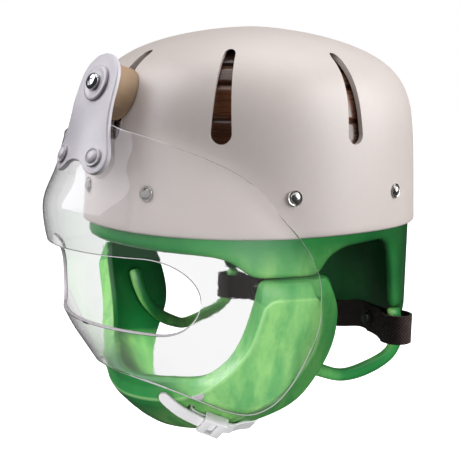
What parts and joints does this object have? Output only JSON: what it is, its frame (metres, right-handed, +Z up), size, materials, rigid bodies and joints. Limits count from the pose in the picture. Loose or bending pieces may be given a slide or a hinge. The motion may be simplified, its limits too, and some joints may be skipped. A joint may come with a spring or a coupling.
{
  "type": "hard shell helmet with faceguard",
  "caption": "Hard shell head protector with vent slots, padded lining and chin guard, ear openings, nape strap and a clear faceguard carried on a front tab.",
  "frame": {"origin": "inside of the crown lining, at the middle, where the helmet sits on a head", "axes": "+Z up out of the head, -Y to the front of the face, +X to the wearer's left"},
  "size_m": [0.2104, 0.2649, 0.2588],
  "materials": {
    "shell": "smooth white moulded plastic",
    "crown": "brown coated foam",
    "padding": "glossy green vinyl coated foam",
    "clear": "clear formed plastic sheet",
    "tab": "white flexible plastic",
    "spacer": "tan firm rubber",
    "screw": "plated steel",
    "rivet": "satin",
    "webbing": "dark woven webbing",
    "snap": "black snap cap",
    "strap": "smooth white plastic"
  },
  "bodies": {
    "root": {"shell": "shell", "crown_liner": "crown", "head_band": "padding", "chin_guard": "padding", "ear_loop_left": "padding", "ear_loop_right": "padding", "faceguard": "clear", "faceguard_tab": "tab", "spacer_puck": "spacer", "tab_washer": "tab", "tab_screw": "screw", "tab_rivet_left": "rivet", "tab_rivet_right": "rivet", "nape_strap": "webbing", "strap_snap_left": "snap", "strap_snap_right": "snap", "chin_strap": "strap", "chin_buckle": "strap", "shell_rivet_1": "rivet", "shell_rivet_2": "rivet", "shell_rivet_3": "rivet", "shell_rivet_4": "rivet", "shell_rivet_5": "rivet", "shell_rivet_6": "rivet", "shell_rivet_7": "rivet", "shell_rivet_8": "rivet"}
  },
  "joints": []
}
